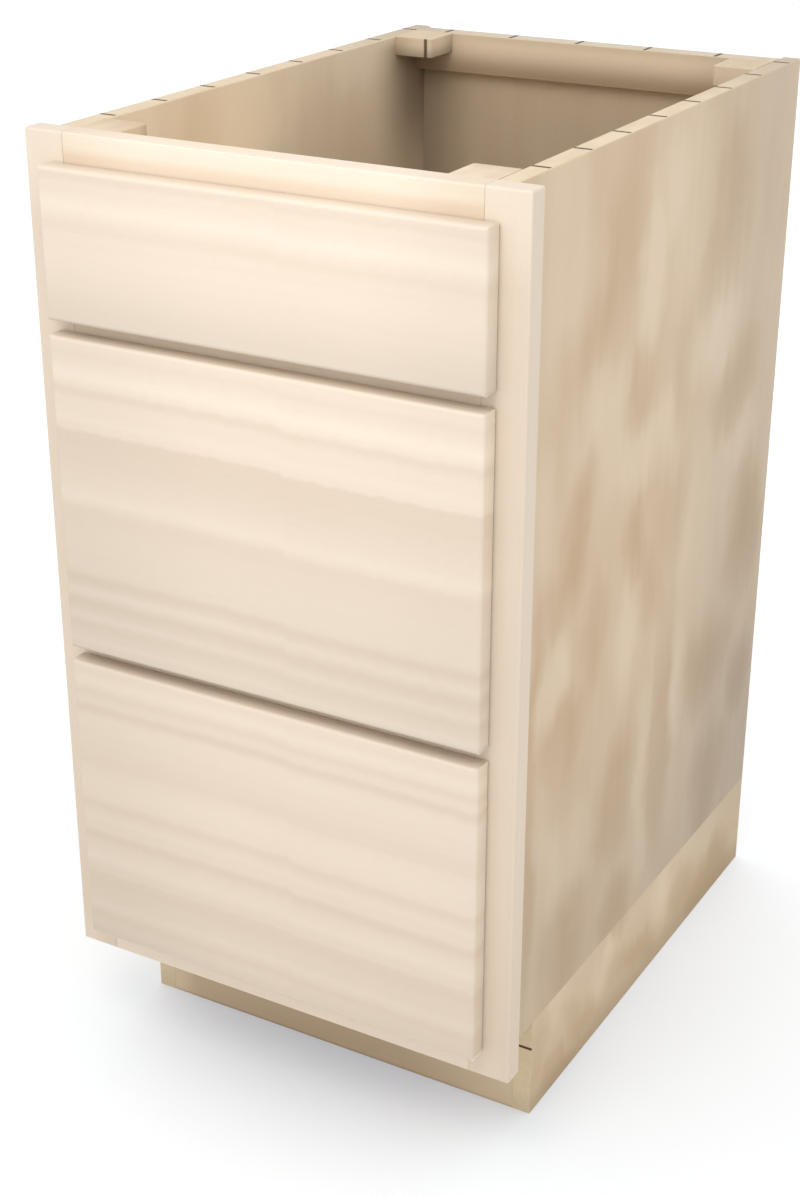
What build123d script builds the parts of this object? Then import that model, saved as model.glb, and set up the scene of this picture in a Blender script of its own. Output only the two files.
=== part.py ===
"""Three-drawer base cabinet: face frame, panelled carcass on a plinth, dovetailed drawers on slides.

Frame: +X to the right as you face the drawers, +Y to the back, +Z up. The origin is on the
floor, in the middle of the footprint with the drawer fronts closed. Lengths are millimetres.
"""

from build123d import *
import os

# ---------------------------------------------------------------------------
# Driving dimensions
# ---------------------------------------------------------------------------
INCH = 25.4

# The whole cabinet
CABINET_WIDTH = 18 * INCH
CABINET_DEPTH = 24 * INCH  # face frame's front to the rear ends of the side panels
CABINET_HEIGHT = 34.5 * INCH

# Face frame
FRAME_THICKNESS = 0.75 * INCH
STILE_WIDTH = 1.5 * INCH
RAIL_HEIGHT = 1.5 * INCH
TOP_OPENING_HEIGHT = 4 * INCH
TENON_LENGTH = 0.75 * INCH
TENON_THICKNESS = 0.25 * INCH
TENON_SHOULDER = 0.25 * INCH
TENON_END_CLEARANCE = 0.5
FRAME_EASE = 2.2  # outer and upper edges of the frame
JOINT_EASE = 0.5

# Carcass and plinth
SIDE_THICKNESS = 0.6875 * INCH
SIDE_EASE = 1.5
BACK_THICKNESS = 0.125 * INCH
BACK_INSET = 0.375 * INCH  # scribe left behind the back panel
BACK_GROOVE = 0.25 * INCH
BACK_EDGE_CLEARANCE = 0.4
FLOOR_THICKNESS = 0.5 * INCH
FLOOR_RABBET = 0.25 * INCH
HANGING_RAIL_THICKNESS = 0.625 * INCH
HANGING_RAIL_HEIGHT = 1.5 * INCH
TOE_HEIGHT = 4 * INCH
TOE_DEPTH = 3.5 * INCH
TOE_BOARD_THICKNESS = 0.5 * INCH
REAR_BASE_THICKNESS = 0.5 * INCH
CORNER_BLOCK_SIDE = 1.625 * INCH
CORNER_BLOCK_HEIGHT = 0.75 * INCH
BACK_BLOCK_DEPTH = 1.75 * INCH  # from the hanging rail forwards
CORNER_BLOCK_RADIUS = 0.125 * INCH
CORNER_BLOCK_EASE = 1.2
HANGING_RAIL_EASE = 1.0

# Drawer fronts
FRONT_THICKNESS = 0.6875 * INCH
FRONT_OVERLAY = 0.5 * INCH  # how far a front laps over the frame on every side
FRONT_EASE = 3.0
BUMPER_THICKNESS = 1.5
BUMPER_RADIUS = 4.5
BUMPER_INSET = 1 * INCH  # from a front's lower or upper edge to the bumper's centre
BUMPER_CLEARANCE = 0.1

# Drawer boxes
BOX_WALL = 0.5 * INCH
BOX_DEPTH = 18 * INCH
TOP_BOX_DEPTH = 12 * INCH  # short, so that the open top shows no box
BOX_GAP_BELOW = 0.25 * INCH
BOX_GAP_ABOVE = 1.5 * INCH
BOX_BOTTOM_THICKNESS = 0.25 * INCH
BOX_BOTTOM_RISE = 0.5 * INCH  # lower edge of the box to the underside of its bottom
BOX_GROOVE = 0.25 * INCH
BOX_GROOVE_CLEARANCE = 0.4
BOX_EASE = 0.8
TAIL_PITCH = 1.25 * INCH  # the most that one dovetail and its pin may take
TAIL_NARROW_SHARE = 0.5
TAIL_FLARE = 1.6

# Screws that hold a front to its box
SCREW_SHANK_RADIUS = 2.0
SCREW_HEAD_RADIUS = 4.6
SCREW_HEAD_HEIGHT = 2.2
SCREW_BITE = 0.5 * INCH
SCREW_CLEARANCE = 0.3
SCREW_EDGE_X = 2.5 * INCH
SCREW_EDGE_Z = 0.8 * INCH

# Drawer slides: three nested channels of one sheet thickness
SLIDE_THICKNESS = 0.5 * INCH
SLIDE_SHEET = 1.2
SLIDE_RUNNING_GAP = 0.4
SLIDE_HEIGHT = 45.0
SLIDE_OUTER_FLANGE = 9.2
SLIDE_OUTER_LIP = 2.8
SLIDE_MOUTH = 23.2  # opening of the middle channel
SLIDE_INNER_LIP = 7.0
SLIDE_SETBACK = 0.125 * INCH
SLIDE_REAR_SETBACK = 5.0  # from a box's rear to the rear of its slides
SLIDE_MIDDLE_SHORTER = 8.0
SLIDE_RISE = 1.125 * INCH  # a box's lower edge to the middle of its slides
SLIDE_SCREW_RADIUS = 1.9
SLIDE_SCREW_HEAD_RADIUS = 3.5
SLIDE_SCREW_LENGTH = 0.5 * INCH
SLIDE_SCREW_CLEARANCE = 0.15
SLIDE_SCREW_END = 1.5 * INCH
SLIDE_SCREW_COUNT = 3

# ---------------------------------------------------------------------------
# Places worked out from the driving dimensions
# ---------------------------------------------------------------------------
BUMPER_GAP = BUMPER_THICKNESS + BUMPER_CLEARANCE
FRONT_PROUD = FRONT_THICKNESS + BUMPER_GAP

FRAME_Y = (FRONT_PROUD - CABINET_DEPTH) / 2  # front plane of the face frame
FRAME_BACK_Y = FRAME_Y + FRAME_THICKNESS
REAR_Y = FRAME_Y + CABINET_DEPTH
BACK_REAR_Y = REAR_Y - BACK_INSET
BACK_Y = BACK_REAR_Y - BACK_THICKNESS
TOE_Y = FRAME_Y + TOE_DEPTH

HALF_WIDTH = CABINET_WIDTH / 2
HALF_OPENING = HALF_WIDTH - STILE_WIDTH
OPENING_WIDTH = 2 * HALF_OPENING
SIDE_OUTER_X = HALF_OPENING + SIDE_THICKNESS

LOWER_OPENING_HEIGHT = (
    CABINET_HEIGHT - TOE_HEIGHT - 4 * RAIL_HEIGHT - TOP_OPENING_HEIGHT
) / 2
FLOOR_TOP = TOE_HEIGHT + FLOOR_THICKNESS

RAIL_BOTTOMS = {
    "bottom": TOE_HEIGHT,
    "lower_mid": TOE_HEIGHT + RAIL_HEIGHT + LOWER_OPENING_HEIGHT,
    "upper_mid": TOE_HEIGHT + 2 * (RAIL_HEIGHT + LOWER_OPENING_HEIGHT),
    "top": CABINET_HEIGHT - RAIL_HEIGHT,
}
OPENINGS = {
    "top": (RAIL_BOTTOMS["upper_mid"] + RAIL_HEIGHT, RAIL_BOTTOMS["top"]),
    "middle": (RAIL_BOTTOMS["lower_mid"] + RAIL_HEIGHT, RAIL_BOTTOMS["upper_mid"]),
    "bottom": (RAIL_BOTTOMS["bottom"] + RAIL_HEIGHT, RAIL_BOTTOMS["lower_mid"]),
}
SIDES = {"left": -1, "right": 1}

FRONT_BACK_Y = FRAME_Y - BUMPER_GAP
HALF_FRONT = HALF_OPENING + FRONT_OVERLAY
BOX_Y = FRONT_BACK_Y
BOX_REARS = {
    "top": BOX_Y + TOP_BOX_DEPTH,
    "middle": BOX_Y + BOX_DEPTH,
    "bottom": BOX_Y + BOX_DEPTH,
}
HALF_BOX = HALF_OPENING - SLIDE_THICKNESS
SLIDE_Y = FRAME_Y + SLIDE_SETBACK
SLIDE_LENGTHS = {
    opening: rear - SLIDE_REAR_SETBACK - SLIDE_Y for opening, rear in BOX_REARS.items()
}


# ---------------------------------------------------------------------------
# Small helpers
# ---------------------------------------------------------------------------
def block(x, y, z):
    """A box between the low and high values of x, y and z, given in either order."""
    low = [min(pair) for pair in (x, y, z)]
    size = [abs(pair[1] - pair[0]) for pair in (x, y, z)]
    corner = (Align.MIN, Align.MIN, Align.MIN)
    return Pos(*low) * Box(*size, align=corner)


def mirrored(side, near, far):
    """X values of a span on the named side, from its distances to the middle plane."""
    return (SIDES[side] * near, SIDES[side] * far)


def rod(radius, start, end, axis=Axis.Y):
    """A cylinder along Y or X between two points that differ only along that axis."""
    turn = Rot(-90, 0, 0) if axis == Axis.Y else Rot(0, 90, 0)
    length = (end - start).length
    middle = (start + end) * 0.5
    return Pos(*middle) * turn * Cylinder(radius, length)


def front_face(solid):
    """The face of a solid that looks out of the cabinet's front."""
    return solid.faces().sort_by(Axis.Y)[0]


def top_face(solid):
    """The highest face of a solid."""
    return solid.faces().sort_by(Axis.Z)[-1]


def shared_edges(face, other):
    """The edges where two faces meet."""
    centres = [edge.center() for edge in other.edges()]
    return [
        edge
        for edge in face.edges()
        if any((edge.center() - centre).length < 0.001 for centre in centres)
    ]


# ---------------------------------------------------------------------------
# Face frame
# ---------------------------------------------------------------------------
def tenon_block(side, rail_bottom, end_clearance=0.0):
    """The stub tenon of one rail end, or with clearance the mortise that takes it."""
    middle_y = FRAME_Y + FRAME_THICKNESS / 2
    return block(
        mirrored(side, HALF_OPENING, HALF_OPENING + TENON_LENGTH + end_clearance),
        (middle_y - TENON_THICKNESS / 2, middle_y + TENON_THICKNESS / 2),
        (rail_bottom + TENON_SHOULDER, rail_bottom + RAIL_HEIGHT - TENON_SHOULDER),
    )


def make_stile(side):
    stile = block(
        mirrored(side, HALF_OPENING, HALF_WIDTH),
        (FRAME_Y, FRAME_BACK_Y),
        (TOE_HEIGHT, CABINET_HEIGHT),
    )
    outer = stile.faces().sort_by(Axis.X)[-1 if side == "right" else 0]
    eased = shared_edges(outer, front_face(stile)) + shared_edges(outer, top_face(stile))
    stile = fillet(eased + shared_edges(front_face(stile), top_face(stile)), FRAME_EASE)
    for rail_bottom in RAIL_BOTTOMS.values():
        stile -= tenon_block(side, rail_bottom, TENON_END_CLEARANCE)
    return stile


def make_rail(name):
    bottom = RAIL_BOTTOMS[name]
    rail = block(
        (-HALF_OPENING, HALF_OPENING),
        (FRAME_Y, FRAME_BACK_Y),
        (bottom, bottom + RAIL_HEIGHT),
    )
    if name == "top":
        rail = fillet(shared_edges(front_face(rail), top_face(rail)), FRAME_EASE)
    ends = rail.faces().filter_by(Axis.X).edges()
    rail = fillet([edge for edge in ends if edge.center().Y < FRAME_Y + 1], JOINT_EASE)
    for side in SIDES:
        rail += tenon_block(side, bottom)
    return rail


def make_face_frame():
    parts = {f"{side}_stile": make_stile(side) for side in SIDES}
    for name in RAIL_BOTTOMS:
        parts[f"{name}_rail"] = make_rail(name)
    return parts


# ---------------------------------------------------------------------------
# Carcass and plinth
# ---------------------------------------------------------------------------
def slide_screw_points(side, opening):
    """Where a cabinet channel's screws meet the face of its side panel."""
    z = slide_middle(opening)
    first = max(SLIDE_Y, FRAME_BACK_Y) + SLIDE_SCREW_END
    last = SLIDE_Y + SLIDE_LENGTHS[opening] - SLIDE_SCREW_END
    step = (last - first) / (SLIDE_SCREW_COUNT - 1)
    x = SIDES[side] * HALF_OPENING
    return [Vector(x, first + step * i, z) for i in range(SLIDE_SCREW_COUNT)]


def outward(side, length):
    """A vector from the cabinet's inside to the named side."""
    return Vector(SIDES[side] * length, 0, 0)


def make_side_panel(side):
    panel = block(
        mirrored(side, HALF_OPENING, SIDE_OUTER_X),
        (FRAME_BACK_Y, REAR_Y),
        (TOE_HEIGHT, CABINET_HEIGHT),
    )
    panel = fillet(top_face(panel).edges().filter_by(Axis.Y), SIDE_EASE)
    panel -= block(
        mirrored(side, HALF_OPENING, HALF_OPENING + FLOOR_RABBET),
        (FRAME_BACK_Y, BACK_REAR_Y),
        (TOE_HEIGHT, FLOOR_TOP),
    )
    panel -= block(
        mirrored(side, HALF_OPENING, HALF_OPENING + BACK_GROOVE),
        (BACK_Y, BACK_REAR_Y),
        (TOE_HEIGHT, CABINET_HEIGHT),
    )
    pilot = SLIDE_SCREW_RADIUS + SLIDE_SCREW_CLEARANCE
    for opening in OPENINGS:
        for point in slide_screw_points(side, opening):
            deep = point + outward(side, SLIDE_SCREW_LENGTH)
            panel -= rod(pilot, point, deep, Axis.X)
    return panel


def make_corner_block(side, row):
    """One block in a top corner, its free corner rounded and its free edges eased."""
    y = (FRAME_BACK_Y, FRAME_BACK_Y + CORNER_BLOCK_SIDE)
    if row == "back":
        hanging_rail_y = BACK_Y - HANGING_RAIL_THICKNESS
        y = (hanging_rail_y - BACK_BLOCK_DEPTH, hanging_rail_y)
    corner_block = block(
        mirrored(side, HALF_OPENING - CORNER_BLOCK_SIDE, HALF_OPENING),
        y,
        (CABINET_HEIGHT - CORNER_BLOCK_HEIGHT, CABINET_HEIGHT),
    )
    middle = Vector(0, (FRAME_BACK_Y + BACK_Y) / 2, CABINET_HEIGHT)
    upright = corner_block.edges().filter_by(Axis.Z)
    free = upright.sort_by(lambda edge: (edge.center() - middle).length)[0]
    corner_block = fillet([free], CORNER_BLOCK_RADIUS)
    held = {min(y) if row == "front" else max(y), SIDES[side] * HALF_OPENING}
    level = corner_block.faces().filter_by(Axis.Z).edges()
    loose = [
        edge
        for edge in level
        if not any(
            abs(edge.center().X - place) < 0.01 or abs(edge.center().Y - place) < 0.01
            for place in held
        )
    ]
    return fillet(loose, CORNER_BLOCK_EASE)


def make_carcass():
    parts = {f"{side}_side_panel": make_side_panel(side) for side in SIDES}
    parts["bottom_panel"] = block(
        (-HALF_OPENING - FLOOR_RABBET, HALF_OPENING + FLOOR_RABBET),
        (FRAME_BACK_Y, BACK_Y),
        (TOE_HEIGHT, FLOOR_TOP),
    )
    half_back = HALF_OPENING + BACK_GROOVE - BACK_EDGE_CLEARANCE
    parts["back_panel"] = block(
        (-half_back, half_back), (BACK_Y, BACK_REAR_Y), (TOE_HEIGHT, CABINET_HEIGHT)
    )
    hanging_rail = block(
        (-HALF_OPENING, HALF_OPENING),
        (BACK_Y - HANGING_RAIL_THICKNESS, BACK_Y),
        (CABINET_HEIGHT - HANGING_RAIL_HEIGHT, CABINET_HEIGHT),
    )
    eased = shared_edges(front_face(hanging_rail), top_face(hanging_rail))
    parts["hanging_rail"] = fillet(eased, HANGING_RAIL_EASE)
    for row in ("front", "back"):
        for side in SIDES:
            parts[f"{row}_{side}_corner_block"] = make_corner_block(side, row)
    return parts


def make_plinth():
    parts = {}
    for side in SIDES:
        parts[f"{side}_base_strip"] = block(
            mirrored(side, HALF_OPENING, SIDE_OUTER_X), (TOE_Y, REAR_Y), (0, TOE_HEIGHT)
        )
    span = (-HALF_OPENING, HALF_OPENING)
    toe_board = block(span, (TOE_Y, TOE_Y + TOE_BOARD_THICKNESS), (0, TOE_HEIGHT))
    upright = front_face(toe_board).edges().filter_by(Axis.Z)
    parts["toe_kick_board"] = fillet(upright, JOINT_EASE)
    parts["rear_base_rail"] = block(
        span, (BACK_REAR_Y - REAR_BASE_THICKNESS, BACK_REAR_Y), (0, TOE_HEIGHT)
    )
    return parts


# ---------------------------------------------------------------------------
# Drawer slides
# ---------------------------------------------------------------------------
def slide_middle(opening):
    """Height of the middle of a drawer's slides."""
    return OPENINGS[opening][0] + BOX_GAP_BELOW + SLIDE_RISE


def channel(side, opening, length, rectangles):
    """One slide channel from section rectangles, mirrored below the slide's middle.

    Each rectangle is (near, far, low, high): the distances from the side panel's face, and
    the heights above the slide's middle.
    """
    y = (SLIDE_Y, SLIDE_Y + length)
    z = slide_middle(opening)
    pieces = []
    for near, far, low, high in rectangles:
        x = mirrored(side, HALF_OPENING - near, HALF_OPENING - far)
        for sign in (1, -1):
            pieces.append(block(x, y, (z + sign * low, z + sign * high)))
    return pieces[0].fuse(*pieces[1:]).clean()


OUTER_TOP = SLIDE_HEIGHT / 2
OUTER_INSIDE = OUTER_TOP - SLIDE_SHEET
MIDDLE_NEAR = SLIDE_SHEET + SLIDE_RUNNING_GAP
MIDDLE_FAR = SLIDE_OUTER_FLANGE - SLIDE_SHEET - SLIDE_RUNNING_GAP
MIDDLE_TOP = OUTER_INSIDE - SLIDE_RUNNING_GAP
MIDDLE_INSIDE = MIDDLE_TOP - SLIDE_SHEET
INNER_NEAR = MIDDLE_NEAR + SLIDE_SHEET + SLIDE_RUNNING_GAP
INNER_TOP = SLIDE_MOUTH / 2 - SLIDE_RUNNING_GAP


def make_cabinet_channel(side, opening):
    cabinet_channel = channel(
        side,
        opening,
        SLIDE_LENGTHS[opening],
        [
            (0, SLIDE_SHEET, 0, OUTER_TOP),
            (0, SLIDE_OUTER_FLANGE, OUTER_INSIDE, OUTER_TOP),
            (
                SLIDE_OUTER_FLANGE - SLIDE_SHEET,
                SLIDE_OUTER_FLANGE,
                OUTER_INSIDE - SLIDE_OUTER_LIP,
                OUTER_TOP,
            ),
        ],
    )
    for point in slide_screw_points(side, opening):
        cabinet_channel -= screw_cone(side, point, SLIDE_SCREW_CLEARANCE)
    return cabinet_channel


def make_middle_channel(side, opening):
    return channel(
        side,
        opening,
        SLIDE_LENGTHS[opening] - SLIDE_MIDDLE_SHORTER,
        [
            (MIDDLE_NEAR, MIDDLE_NEAR + SLIDE_SHEET, 0, MIDDLE_TOP),
            (MIDDLE_NEAR, MIDDLE_FAR, MIDDLE_INSIDE, MIDDLE_TOP),
            (MIDDLE_FAR - SLIDE_SHEET, MIDDLE_FAR, SLIDE_MOUTH / 2, MIDDLE_TOP),
        ],
    )


def make_drawer_channel(side, opening):
    lip_far = INNER_NEAR + SLIDE_SHEET
    return channel(
        side,
        opening,
        SLIDE_LENGTHS[opening],
        [
            (SLIDE_THICKNESS - SLIDE_SHEET, SLIDE_THICKNESS, 0, INNER_TOP),
            (INNER_NEAR, SLIDE_THICKNESS, INNER_TOP - SLIDE_SHEET, INNER_TOP),
            (INNER_NEAR, lip_far, INNER_TOP - SLIDE_SHEET, INNER_TOP + SLIDE_INNER_LIP),
        ],
    )


def screw_cone(side, point, clearance=0.0):
    """The countersunk head of one slide screw, as deep as the channel's sheet."""
    wide = SLIDE_SCREW_HEAD_RADIUS + clearance
    narrow = SLIDE_SCREW_RADIUS + clearance
    cone = Cone(narrow, wide, SLIDE_SHEET)
    turn = Rot(0, -90 * SIDES[side], 0)
    centre = point - outward(side, SLIDE_SHEET / 2)
    return Pos(*centre) * turn * cone


def make_slide_screws():
    screws = []
    for opening in OPENINGS:
        for side in SIDES:
            for point in slide_screw_points(side, opening):
                tip = point + outward(side, SLIDE_SCREW_LENGTH)
                shank = rod(SLIDE_SCREW_RADIUS, point, tip, Axis.X)
                screws.append(screw_cone(side, point) + shank)
    return screws


# ---------------------------------------------------------------------------
# Drawers
# ---------------------------------------------------------------------------
def front_span(opening):
    """Lower and upper edge of a drawer front."""
    low, high = OPENINGS[opening]
    return (low - FRONT_OVERLAY, high + FRONT_OVERLAY)


def box_span(opening):
    """Lower and upper edge of a drawer box."""
    low, high = OPENINGS[opening]
    return (low + BOX_GAP_BELOW, high - BOX_GAP_ABOVE)


def front_screw_points(opening):
    """Screw axes through a box's front wall, at the wall's inner face."""
    low, high = box_span(opening)
    floor = low + BOX_BOTTOM_RISE + BOX_BOTTOM_THICKNESS
    heights = (floor + SCREW_EDGE_Z, high - SCREW_EDGE_Z)
    if high - floor < 4 * SCREW_EDGE_Z:  # too low a wall for two rows
        heights = ((floor + high) / 2,)
    x = HALF_BOX - SCREW_EDGE_X
    y = BOX_Y + BOX_WALL
    return [Vector(sign * x, y, z) for sign in (-1, 1) for z in heights]


def front_screw(point, clearance=0.0):
    """One screw's shank from the box wall's inner face into the drawer front."""
    tip = point - Vector(0, BOX_WALL + SCREW_BITE, 0)
    return rod(SCREW_SHANK_RADIUS + clearance, tip, point)


def make_drawer_front(opening):
    front = block(
        (-HALF_FRONT, HALF_FRONT),
        (FRONT_BACK_Y - FRONT_THICKNESS, FRONT_BACK_Y),
        front_span(opening),
    )
    front = fillet(front_face(front).edges(), FRONT_EASE)
    for point in front_screw_points(opening):
        front -= front_screw(point, SCREW_CLEARANCE)
    return front


def make_front_screws(opening):
    screws = []
    for point in front_screw_points(opening):
        head = rod(SCREW_HEAD_RADIUS, point, point + Vector(0, SCREW_HEAD_HEIGHT, 0))
        screws.append(front_screw(point) + head)
    return screws


def box_tails(opening, side, row):
    """The dovetails on one end of a box's side wall, as one list of solids.

    They are widest at the very end of the wall, and fill the whole thickness of the wall
    that they hook into.
    """
    low, high = box_span(opening)
    count = max(2, round((high - low) / TAIL_PITCH))
    pitch = (high - low) / count
    half_narrow = pitch * TAIL_NARROW_SHARE / 2
    half_wide = half_narrow + TAIL_FLARE
    end_y, root_y = (BOX_Y, BOX_Y + BOX_WALL)
    if row == "back":
        end_y, root_y = (BOX_REARS[opening], BOX_REARS[opening] - BOX_WALL)
    x = min(mirrored(side, HALF_BOX - BOX_WALL, HALF_BOX))
    tails = []
    for i in range(count):
        z = low + pitch * (i + 0.5)
        outline = Polyline(
            (x, root_y, z - half_narrow),
            (x, end_y, z - half_wide),
            (x, end_y, z + half_wide),
            (x, root_y, z + half_narrow),
            close=True,
        )
        tails.append(extrude(make_face(outline), BOX_WALL, dir=(1, 0, 0)))
    return tails


def bottom_space(opening, clearance=0.0):
    """The grooves that take a box's plywood bottom, or with clearance the bottom itself."""
    low = box_span(opening)[0] + BOX_BOTTOM_RISE
    reach = BOX_GROOVE - BOX_WALL - clearance
    return block(
        (-HALF_BOX - reach, HALF_BOX + reach),
        (BOX_Y - reach, BOX_REARS[opening] + reach),
        (low, low + BOX_BOTTOM_THICKNESS),
    )


def make_box_side(opening, side):
    wall = block(
        mirrored(side, HALF_BOX - BOX_WALL, HALF_BOX),
        (BOX_Y + BOX_WALL, BOX_REARS[opening] - BOX_WALL),
        box_span(opening),
    )
    wall = fillet(top_face(wall).edges().filter_by(Axis.Y), BOX_EASE)
    tails = box_tails(opening, side, "front") + box_tails(opening, side, "back")
    return wall.fuse(*tails).clean() - bottom_space(opening)


def make_box_end(opening, row):
    y = (BOX_Y, BOX_Y + BOX_WALL)
    if row == "back":
        y = (BOX_REARS[opening] - BOX_WALL, BOX_REARS[opening])
    wall = block((-HALF_BOX, HALF_BOX), y, box_span(opening))
    wall = wall.cut(*box_tails(opening, "left", row), *box_tails(opening, "right", row))
    wall -= bottom_space(opening)
    if row == "front":
        for point in front_screw_points(opening):
            wall -= front_screw(point, SCREW_CLEARANCE)
    return wall


def make_drawer(opening):
    parts = {
        f"{opening}_drawer_front": make_drawer_front(opening),
        f"{opening}_box_front": make_box_end(opening, "front"),
        f"{opening}_box_back": make_box_end(opening, "back"),
        f"{opening}_box_bottom": bottom_space(opening, BOX_GROOVE_CLEARANCE),
        f"{opening}_front_screws": make_front_screws(opening),
    }
    for side in SIDES:
        parts[f"{opening}_box_{side}_side"] = make_box_side(opening, side)
        parts[f"{opening}_{side}_cabinet_channel"] = make_cabinet_channel(side, opening)
        parts[f"{opening}_{side}_middle_channel"] = make_middle_channel(side, opening)
        parts[f"{opening}_{side}_drawer_channel"] = make_drawer_channel(side, opening)
    return parts


def make_bumpers():
    """Soft discs on the stiles, four behind each drawer front."""
    bumpers = []
    x = HALF_OPENING + FRONT_OVERLAY / 2
    for opening in OPENINGS:
        low, high = front_span(opening)
        for sign in (-1, 1):
            for z in (low + BUMPER_INSET, high - BUMPER_INSET):
                seat = Vector(sign * x, FRAME_Y, z)
                bumpers.append(rod(BUMPER_RADIUS, seat - Vector(0, BUMPER_THICKNESS, 0), seat))
    return bumpers


def main():
    parts = {**make_face_frame(), **make_carcass(), **make_plinth()}
    for opening in OPENINGS:
        parts.update(make_drawer(opening))
    parts["slide_screws"] = make_slide_screws()
    parts["frame_bumpers"] = make_bumpers()

    os.makedirs("parts", exist_ok=True)
    for name, shape in parts.items():
        solids = shape if isinstance(shape, list) else [shape]
        flat = [solid for piece in solids for solid in piece.solids()]
        whole = flat[0] if len(flat) == 1 else Compound(children=flat)
        export_step(whole, f"parts/{name}.step")
    print(len(parts), "sub-parts written")


main()
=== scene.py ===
"""Looks of the three-drawer base cabinet: wood, steel and soft finishes, fine parts and studio.

Frame: +X to the right as you face the drawers, +Y to the back, +Z up. Lengths are metres, except
in the tables of bands and clouds.
"""

import logging
import math
from collections.abc import Callable
from dataclasses import dataclass
from enum import IntEnum
from functools import cached_property
from typing import Self

import bmesh
import bpy
from mathutils import Matrix, Vector


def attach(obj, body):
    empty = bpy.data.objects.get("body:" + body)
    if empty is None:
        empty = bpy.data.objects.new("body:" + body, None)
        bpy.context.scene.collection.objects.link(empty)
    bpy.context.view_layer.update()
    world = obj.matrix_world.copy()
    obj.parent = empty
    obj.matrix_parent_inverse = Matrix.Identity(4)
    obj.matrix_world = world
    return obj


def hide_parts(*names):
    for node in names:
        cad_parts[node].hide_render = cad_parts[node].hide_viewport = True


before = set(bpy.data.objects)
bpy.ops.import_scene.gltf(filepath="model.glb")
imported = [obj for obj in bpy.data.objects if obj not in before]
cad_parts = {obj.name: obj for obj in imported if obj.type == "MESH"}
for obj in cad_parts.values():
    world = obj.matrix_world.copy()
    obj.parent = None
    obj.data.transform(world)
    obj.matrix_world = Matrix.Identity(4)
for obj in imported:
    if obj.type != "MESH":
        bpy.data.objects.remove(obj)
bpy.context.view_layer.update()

log = logging.getLogger("cabinet")
Colour = tuple[float, float, float]
Place = tuple[float, float, float]
Material = bpy.types.Material
Piece = bpy.types.Object
Socket = bpy.types.NodeSocket

FRONT_Y = -0.29527  # front plane of the face frame
TOP_Z = 0.8763
HALF_WIDTH = 0.2286
HALF_OPENING = 0.1905
TOE_Y = -0.20637  # front of the toe board
CRISP_ABOVE = math.radians(38)  # edges that turn more than this stay sharp


def rgb(code: str) -> Colour:
    """Red, green and blue in linear light of a screen colour in six digits, such as "EAD9C2"."""
    parts = [int(code[i : i + 2], 16) / 255 for i in (0, 2, 4)]
    return tuple(v / 12.92 if v <= 0.04045 else ((v + 0.055) / 1.055) ** 2.4 for v in parts)


def put_on(piece: Piece, finish: Material) -> None:
    """Gives a piece one material in place of those it has."""
    piece.data.materials.clear()
    piece.data.materials.append(finish)


# --- Shader maths ---
def math_operator(operation: str, number_first: bool = False) -> Callable[..., "Signal"]:
    """An operator method that adds one Math node; the other value may go in first."""

    def method(signal: "Signal", other: "Signal | float") -> "Signal":
        """Adds the node."""
        return signal.math(operation, *((other, signal) if number_first else (signal, other)))

    return method


class Signal:
    """One shader socket that works in Python expressions; each operator adds its Math node."""

    def __init__(self, shader: "Shader", socket: Socket) -> None:
        """Wraps an output socket of a node in the shader."""
        self.shader = shader
        self.socket = socket

    def math(self, operation: str, *values: "Signal | float") -> "Signal":
        """Adds one Math node with these values in its sockets, in order."""
        return self.shader.node("ShaderNodeMath", {"operation": operation}, dict(enumerate(values)))

    __add__, __radd__ = math_operator("ADD"), math_operator("ADD", True)
    __sub__, __rsub__ = math_operator("SUBTRACT"), math_operator("SUBTRACT", True)
    __mul__, __rmul__ = math_operator("MULTIPLY"), math_operator("MULTIPLY", True)
    __gt__, __lt__ = math_operator("GREATER_THAN"), math_operator("LESS_THAN")
    above, below = math_operator("MAXIMUM"), math_operator("MINIMUM")

    def __abs__(self) -> "Signal":
        """Size without its sign."""
        return self.math("ABSOLUTE", self)

    def fraction(self) -> "Signal":
        """What is left after the whole number."""
        return self.math("FRACT", self)

    def ease(self, low: float, high: float, start: float = 0.0, end: float = 1.0) -> "Signal":
        """A soft step from start, where it is low or less, to end, where it is high or more."""
        values = {"Value": self, "From Min": low, "From Max": high, "To Min": start, "To Max": end}
        return self.shader.node("ShaderNodeMapRange", {"interpolation_type": "SMOOTHSTEP"}, values)


class Along(IntEnum):
    """The cabinet's three directions."""

    ACROSS = 0
    FRONT_TO_BACK = 1
    UPRIGHT = 2


ACROSS, TO_BACK, UP = Along


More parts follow.
